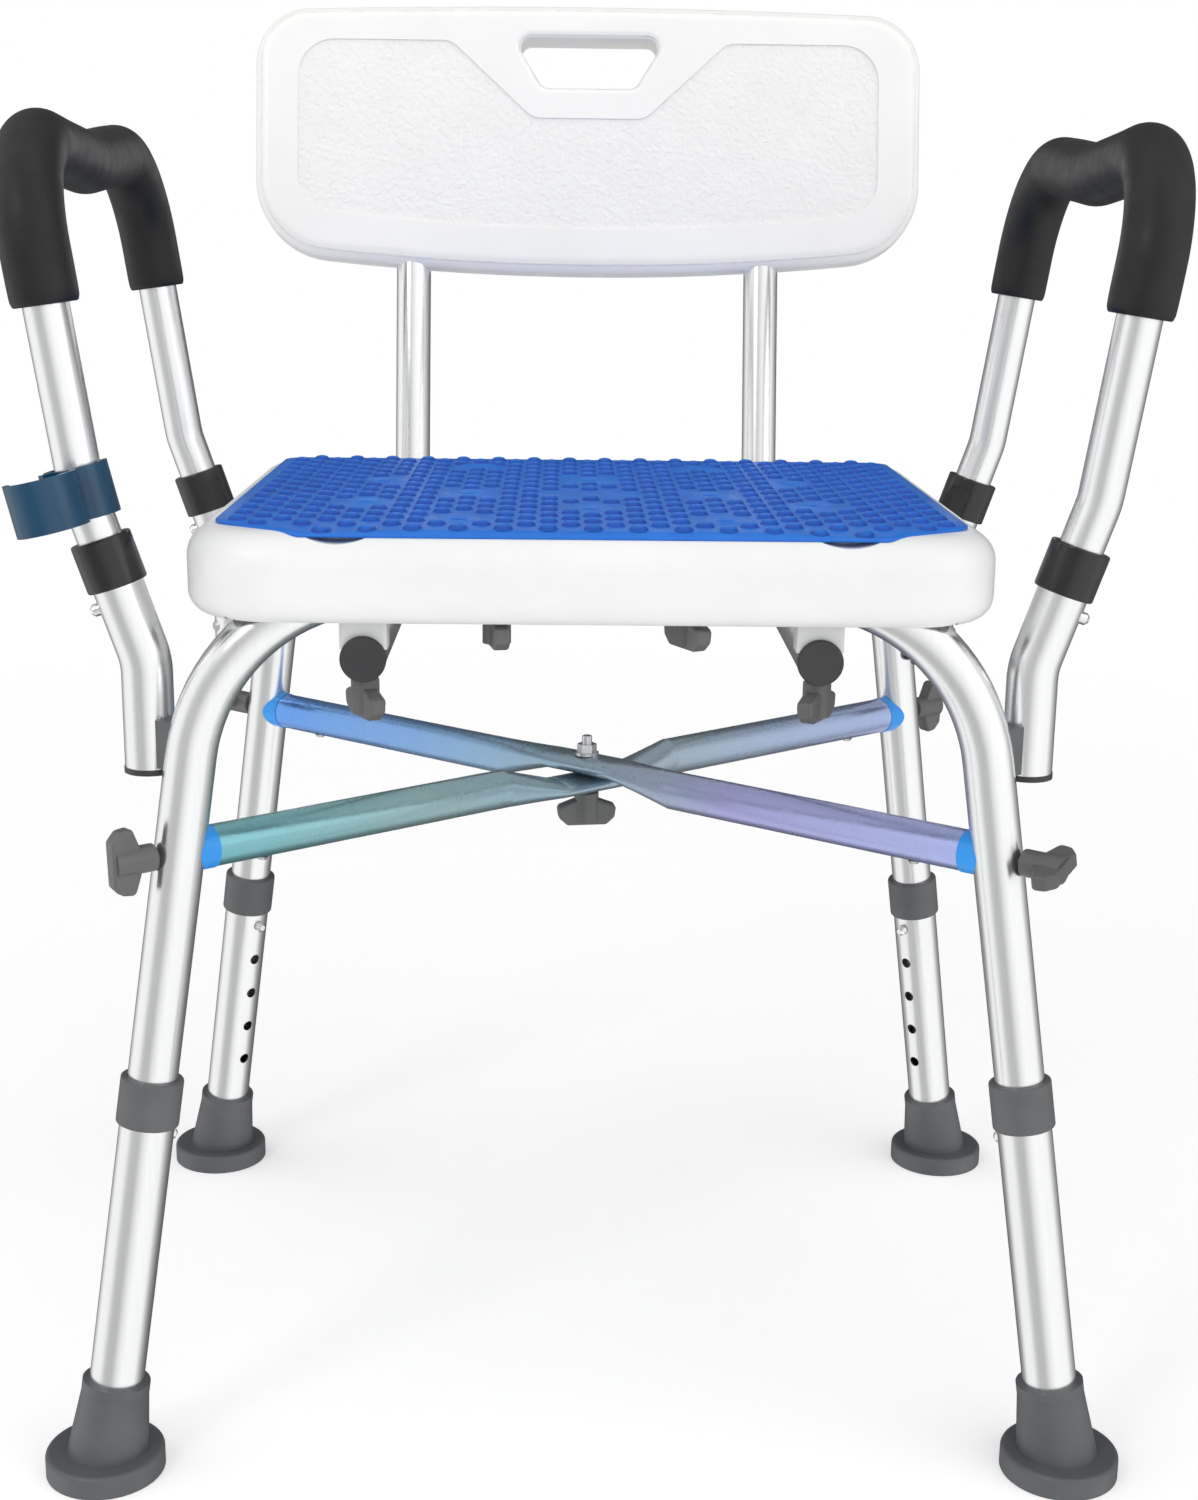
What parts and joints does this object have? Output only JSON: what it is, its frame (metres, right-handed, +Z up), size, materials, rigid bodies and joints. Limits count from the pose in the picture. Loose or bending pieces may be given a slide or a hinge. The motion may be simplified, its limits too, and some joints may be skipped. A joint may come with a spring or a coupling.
{
  "type": "shower chair",
  "caption": "Shower chair with padded arm rests, a back rest, telescopic splayed legs on rubber feet, crossed braces, a studded mat and a shower head clip.",
  "frame": {"origin": "on the floor, at the middle of the chair's bounding box footprint", "axes": "+Z up, -Y is the front where the sitter's knees are, +X is on the right of someone who faces the chair"},
  "size_m": [0.5925, 0.504, 0.7848],
  "materials": {
    "seat_shell": "satin white blow-moulded plastic",
    "back_shell": "satin white blow-moulded plastic with a textured field",
    "mat_blue": "soft blue mat",
    "tube_aluminium": "satin anodised tube",
    "brace_blue": "blue metallic painted tube",
    "plug_blue": "bright blue plug",
    "foam": "dark foam sleeve",
    "collar_grey": "dark grey moulded plastic",
    "collar_black": "glossy black moulded plastic",
    "knob_grey": "mid grey moulded plastic",
    "foot_rubber": "dark grey rubber",
    "button_chrome": "bright button",
    "steel": "stainless steel",
    "cap_dark": "dark plastic cap",
    "clip_teal": "teal moulded plastic",
    "saddle_grey": "dark grey spacer"
  },
  "bodies": {
    "frame": {"seat": "seat_shell", "seat_mat": "mat_blue", "back_panel": "back_shell", "back_panel_screws": "steel", "back_tube_left": "tube_aluminium", "back_tube_right": "tube_aluminium", "back_tube_caps": "cap_dark", "tube_saddles": "saddle_grey", "front_leg_frame": "tube_aluminium", "rear_leg_frame": "tube_aluminium", "crossbar_upper": "brace_blue", "crossbar_lower": "brace_blue", "crossbar_end_plugs": "plug_blue", "crossbar_screws": "steel", "centre_nut": "steel", "arm_socket_collars": "collar_black", "arm_socket_caps": "cap_dark", "arm_socket_rivets": "steel", "arm_socket_saddles": "saddle_grey", "arm_socket_front_left": "tube_aluminium", "arm_socket_front_right": "tube_aluminium", "arm_socket_rear_left": "tube_aluminium", "arm_socket_rear_right": "tube_aluminium"},
    "lower_leg_front_left": {"lower_leg_tube_front_left": "tube_aluminium", "leg_collar_front_left": "collar_grey", "foot_front_left": "foot_rubber"},
    "leg_button_front_left": {"leg_button_front_left": "button_chrome"},
    "lower_leg_front_right": {"lower_leg_tube_front_right": "tube_aluminium", "leg_collar_front_right": "collar_grey", "foot_front_right": "foot_rubber"},
    "leg_button_front_right": {"leg_button_front_right": "button_chrome"},
    "lower_leg_rear_left": {"lower_leg_tube_rear_left": "tube_aluminium", "leg_collar_rear_left": "collar_grey", "foot_rear_left": "foot_rubber"},
    "leg_button_rear_left": {"leg_button_rear_left": "button_chrome"},
    "lower_leg_rear_right": {"lower_leg_tube_rear_right": "tube_aluminium", "leg_collar_rear_right": "collar_grey", "foot_rear_right": "foot_rubber"},
    "leg_button_rear_right": {"leg_button_rear_right": "button_chrome"},
    "arm_left": {"arm_tube_left": "tube_aluminium", "arm_grip_left": "foam"},
    "arm_button_front_left": {"arm_button_front_left": "button_chrome"},
    "arm_button_rear_left": {"arm_button_rear_left": "button_chrome"},
    "arm_right": {"arm_tube_right": "tube_aluminium", "arm_grip_right": "foam"},
    "arm_button_front_right": {"arm_button_front_right": "button_chrome"},
    "arm_button_rear_right": {"arm_button_rear_right": "button_chrome"},
    "brace_knob_front_left": {"brace_knob_front_left": "knob_grey"},
    "back_knob_front_left": {"back_knob_front_left": "knob_grey"},
    "brace_knob_front_right": {"brace_knob_front_right": "knob_grey"},
    "back_knob_front_right": {"back_knob_front_right": "knob_grey"},
    "brace_knob_rear_left": {"brace_knob_rear_left": "knob_grey"},
    "back_knob_rear_left": {"back_knob_rear_left": "knob_grey"},
    "brace_knob_rear_right": {"brace_knob_rear_right": "knob_grey"},
    "back_knob_rear_right": {"back_knob_rear_right": "knob_grey"},
    "seat_knob_left": {"seat_knob_left": "knob_grey"},
    "seat_knob_right": {"seat_knob_right": "knob_grey"},
    "centre_knob": {"centre_knob": "knob_grey", "centre_stud": "steel"},
    "clip": {"shower_head_clip": "clip_teal"}
  },
  "joints": [
    {"name": "leg_height_front_left", "type": "slide", "parent": "frame", "child": "lower_leg_front_left", "axis": [0.1362, 0.0839, 0.9871], "range_m": [0, 0.1016]},
    {"name": "leg_button_press_front_left", "type": "slide", "parent": "frame", "child": "leg_button_front_left", "axis": [-0.6944, -0.7026, 0.1555], "range_m": [0, 0.006], "stiffness_N_per_m": 1500, "springref_m": -0.001, "deforming": ["leg_button_front_left"]},
    {"name": "leg_height_front_right", "type": "slide", "parent": "frame", "child": "lower_leg_front_right", "axis": [-0.1362, 0.0839, 0.9871], "range_m": [0, 0.1016]},
    {"name": "leg_button_press_front_right", "type": "slide", "parent": "frame", "child": "leg_button_front_right", "axis": [0.6944, -0.7026, 0.1555], "range_m": [0, 0.006], "stiffness_N_per_m": 1500, "springref_m": -0.001, "deforming": ["leg_button_front_right"]},
    {"name": "leg_height_rear_left", "type": "slide", "parent": "frame", "child": "lower_leg_rear_left", "axis": [0.1362, -0.0839, 0.9871], "range_m": [0, 0.1016]},
    {"name": "leg_button_press_rear_left", "type": "slide", "parent": "frame", "child": "leg_button_rear_left", "axis": [-0.6944, 0.7026, 0.1555], "range_m": [0, 0.006], "stiffness_N_per_m": 1500, "springref_m": -0.001, "deforming": ["leg_button_rear_left"]},
    {"name": "leg_height_rear_right", "type": "slide", "parent": "frame", "child": "lower_leg_rear_right", "axis": [-0.1362, -0.0839, 0.9871], "range_m": [0, 0.1016]},
    {"name": "leg_button_press_rear_right", "type": "slide", "parent": "frame", "child": "leg_button_rear_right", "axis": [0.6944, 0.7026, 0.1555], "range_m": [0, 0.006], "stiffness_N_per_m": 1500, "springref_m": -0.001, "deforming": ["leg_button_rear_right"]},
    {"name": "arm_lift_left", "type": "slide", "parent": "frame", "child": "arm_left", "axis": [-0.3173, 0, 0.9483], "range_m": [0, 0.07]},
    {"name": "arm_button_press_front_left", "type": "slide", "parent": "arm_left", "child": "arm_button_front_left", "axis": [0.9483, 0, 0.3173], "range_m": [0, 0.006], "stiffness_N_per_m": 1500, "springref_m": -0.001, "deforming": ["arm_button_front_left"]},
    {"name": "arm_button_press_rear_left", "type": "slide", "parent": "arm_left", "child": "arm_button_rear_left", "axis": [0.9483, 0, 0.3173], "range_m": [0, 0.006], "stiffness_N_per_m": 1500, "springref_m": -0.001, "deforming": ["arm_button_rear_left"]},
    {"name": "arm_lift_right", "type": "slide", "parent": "frame", "child": "arm_right", "axis": [0.3173, 0, 0.9483], "range_m": [0, 0.07]},
    {"name": "arm_button_press_front_right", "type": "slide", "parent": "arm_right", "child": "arm_button_front_right", "axis": [-0.9483, 0, 0.3173], "range_m": [0, 0.006], "stiffness_N_per_m": 1500, "springref_m": -0.001, "deforming": ["arm_button_front_right"]},
    {"name": "arm_button_press_rear_right", "type": "slide", "parent": "arm_right", "child": "arm_button_rear_right", "axis": [-0.9483, 0, 0.3173], "range_m": [0, 0.006], "stiffness_N_per_m": 1500, "springref_m": -0.001, "deforming": ["arm_button_rear_right"]},
    {"name": "brace_knob_front_left_turn", "type": "hinge", "parent": "frame", "child": "brace_knob_front_left", "pos_m": [-0.22069, -0.20137, 0.3345], "axis": [-0.7842, -0.6205, 0], "continuous": true},
    {"name": "back_knob_front_left_turn", "type": "hinge", "parent": "frame", "child": "back_knob_front_left", "pos_m": [-0.1145, -0.18079, 0.4235], "axis": [0, 0, 1], "continuous": true},
    {"name": "brace_knob_front_right_turn", "type": "hinge", "parent": "frame", "child": "brace_knob_front_right", "pos_m": [0.22069, -0.20137, 0.3345], "axis": [0.7842, -0.6205, 0], "continuous": true},
    {"name": "back_knob_front_right_turn", "type": "hinge", "parent": "frame", "child": "back_knob_front_right", "pos_m": [0.1145, -0.18079, 0.4235], "axis": [0, 0, 1], "continuous": true},
    {"name": "brace_knob_rear_left_turn", "type": "hinge", "parent": "frame", "child": "brace_knob_rear_left", "pos_m": [-0.22069, 0.14789, 0.3345], "axis": [-0.7842, 0.6205, 0], "continuous": true},
    {"name": "back_knob_rear_left_turn", "type": "hinge", "parent": "frame", "child": "back_knob_rear_left", "pos_m": [-0.1145, 0.12731, 0.4235], "axis": [0, 0, 1], "continuous": true},
    {"name": "brace_knob_rear_right_turn", "type": "hinge", "parent": "frame", "child": "brace_knob_rear_right", "pos_m": [0.22069, 0.14789, 0.3345], "axis": [0.7842, 0.6205, 0], "continuous": true},
    {"name": "back_knob_rear_right_turn", "type": "hinge", "parent": "frame", "child": "back_knob_rear_right", "pos_m": [0.1145, 0.12731, 0.4235], "axis": [0, 0, 1], "continuous": true},
    {"name": "seat_knob_left_turn", "type": "hinge", "parent": "frame", "child": "seat_knob_left", "pos_m": [-0.048, -0.18079, 0.4567], "axis": [0, 0, 1], "continuous": true},
    {"name": "seat_knob_right_turn", "type": "hinge", "parent": "frame", "child": "seat_knob_right", "pos_m": [0.048, -0.18079, 0.4567], "axis": [0, 0, 1], "continuous": true},
    {"name": "centre_knob_turn", "type": "hinge", "parent": "frame", "child": "centre_knob", "pos_m": [0, -0.02674, 0.3232], "axis": [0, 0, 1], "continuous": true},
    {"name": "clip_turn", "type": "hinge", "parent": "arm_left", "child": "clip", "pos_m": [-0.2545, -0.17174, 0.515], "axis": [-0.2323, 0, 0.9726], "range_deg": [-40, 40]}
  ]
}
